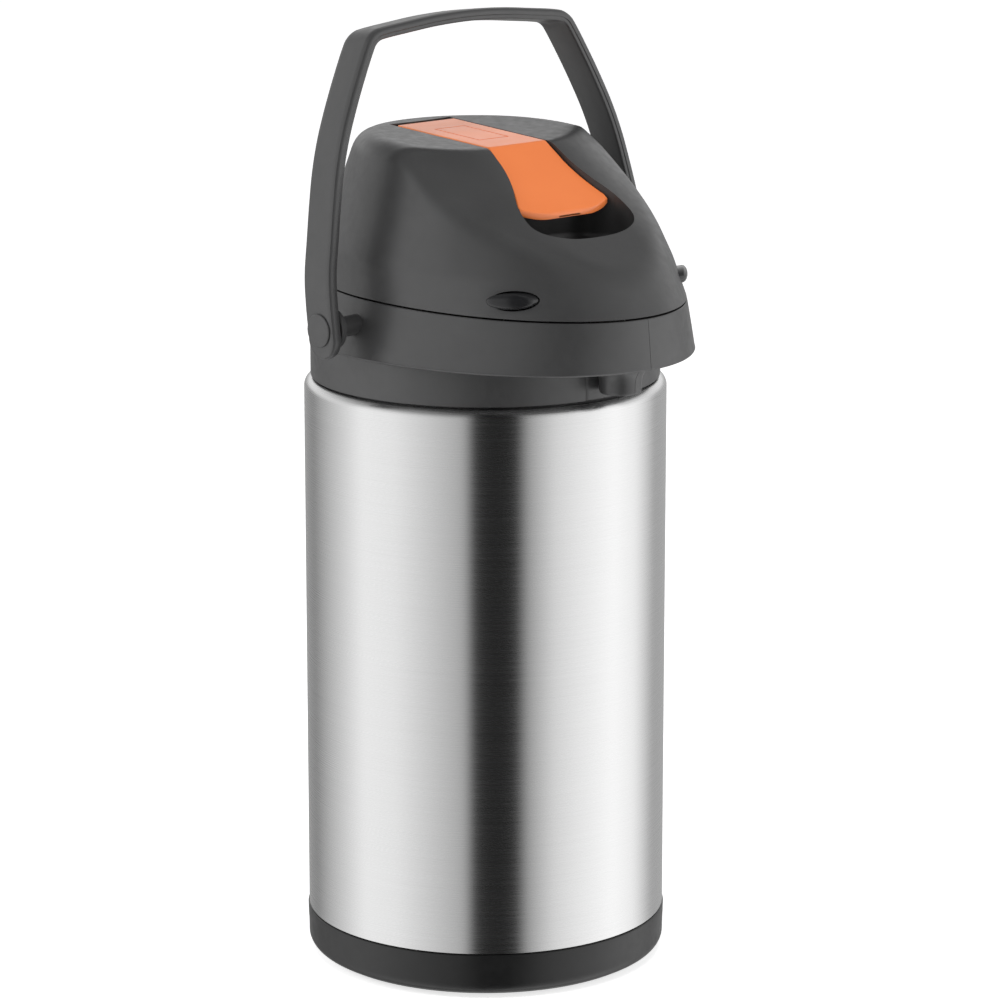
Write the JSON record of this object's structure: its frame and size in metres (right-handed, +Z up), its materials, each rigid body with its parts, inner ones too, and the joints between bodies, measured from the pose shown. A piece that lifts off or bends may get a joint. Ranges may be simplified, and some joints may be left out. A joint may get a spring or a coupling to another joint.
{
  "type": "thermal coffee airpot",
  "caption": "Lever-action vacuum airpot for hot drinks: brushed steel jacket, dark plastic collar with pouring beak, hinged pump lid with a coloured lever, and a swinging carrying handle.",
  "frame": {"origin": "on the flask's vertical axis, at the plane of the foot pad that it stands on", "axes": "+Z up along the body, -Y towards the pouring spout, +X to the right-hand handle pivot for someone looking along +Y"},
  "size_m": [0.1974, 0.1949, 0.4387],
  "materials": {
    "jacket_steel": "brushed round the body, satin",
    "flask_steel": "smooth drawn steel",
    "fastener_steel": "bright plated",
    "body_plastic": "fine moulded grain, matte",
    "base_plastic": "near black, satin",
    "gloss_plastic": "glossy black",
    "lever_plastic": "glossy orange",
    "foot_rubber": "matte",
    "silicone": "milky silicone",
    "natural_plastic": "uncoloured food-grade plastic"
  },
  "bodies": {
    "flask_body": {"outer_shell": "jacket_steel", "base_cup": "base_plastic", "base_screw_1": "fastener_steel", "base_screw_2": "fastener_steel", "base_screw_3": "fastener_steel", "foot_pad": "foot_rubber", "flask_outer_wall": "flask_steel", "flask_liner": "flask_steel", "getter_cap": "base_plastic", "bottom_cushion": "foot_rubber", "collar": "body_plastic", "spout_panel": "body_plastic", "spout_nozzle": "body_plastic", "dip_tube": "natural_plastic", "tube_head": "natural_plastic", "outlet_pipe": "natural_plastic", "neck_ring": "base_plastic", "neck_gasket": "silicone", "lid_hinge_pin": "fastener_steel", "handle_pin_left": "fastener_steel", "handle_pin_right": "fastener_steel"},
    "lid": {"lid_shell": "body_plastic", "lid_base": "base_plastic", "lid_screw_1": "fastener_steel", "lid_screw_2": "fastener_steel", "lid_screw_3": "fastener_steel", "lid_screw_4": "fastener_steel", "bellows": "silicone", "bellows_ring": "base_plastic", "air_valve": "silicone", "pump_spring": "fastener_steel", "lid_gasket": "silicone", "lever_pin": "fastener_steel", "latch_spring_left": "fastener_steel", "latch_spring_right": "fastener_steel"},
    "lever": {"lever": "lever_plastic"},
    "plunger": {"plunger": "natural_plastic"},
    "latch_button_left": {"latch_button_left": "gloss_plastic"},
    "latch_button_right": {"latch_button_right": "gloss_plastic"},
    "handle": {"handle": "body_plastic", "handle_cap_left": "body_plastic", "handle_cap_right": "body_plastic"}
  },
  "joints": [
    {"name": "lid_hinge", "type": "hinge", "parent": "flask_body", "child": "lid", "pos_m": [0, 0.0805, 0.3198], "axis": [-1, 0, 0], "range_deg": [0, 35]},
    {"name": "lever_hinge", "type": "hinge", "parent": "lid", "child": "lever", "pos_m": [0, 0.0385, 0.3776], "axis": [-1, 0, 0], "range_deg": [0, 30]},
    {"name": "plunger_slide", "type": "slide", "parent": "lid", "child": "plunger", "axis": [0, 0, 1], "range_m": [0, 0.0175], "deforming": ["bellows", "pump_spring"]},
    {"name": "latch_left_slide", "type": "slide", "parent": "lid", "child": "latch_button_left", "axis": [1, 0, 0], "range_m": [0, 0.004], "stiffness_N_per_m": 300, "deforming": ["latch_spring_left"]},
    {"name": "latch_right_slide", "type": "slide", "parent": "lid", "child": "latch_button_right", "axis": [-1, 0, 0], "range_m": [0, 0.004], "stiffness_N_per_m": 300, "deforming": ["latch_spring_right"]},
    {"name": "handle_swing", "type": "hinge", "parent": "flask_body", "child": "handle", "pos_m": [0, 0.0005, 0.305], "axis": [1, 0, 0], "range_deg": [-126, 141]}
  ],
  "couplings": [
    {"joint": "plunger_slide", "follows": "lever_hinge", "m_per_rad": 0.0334}
  ]
}
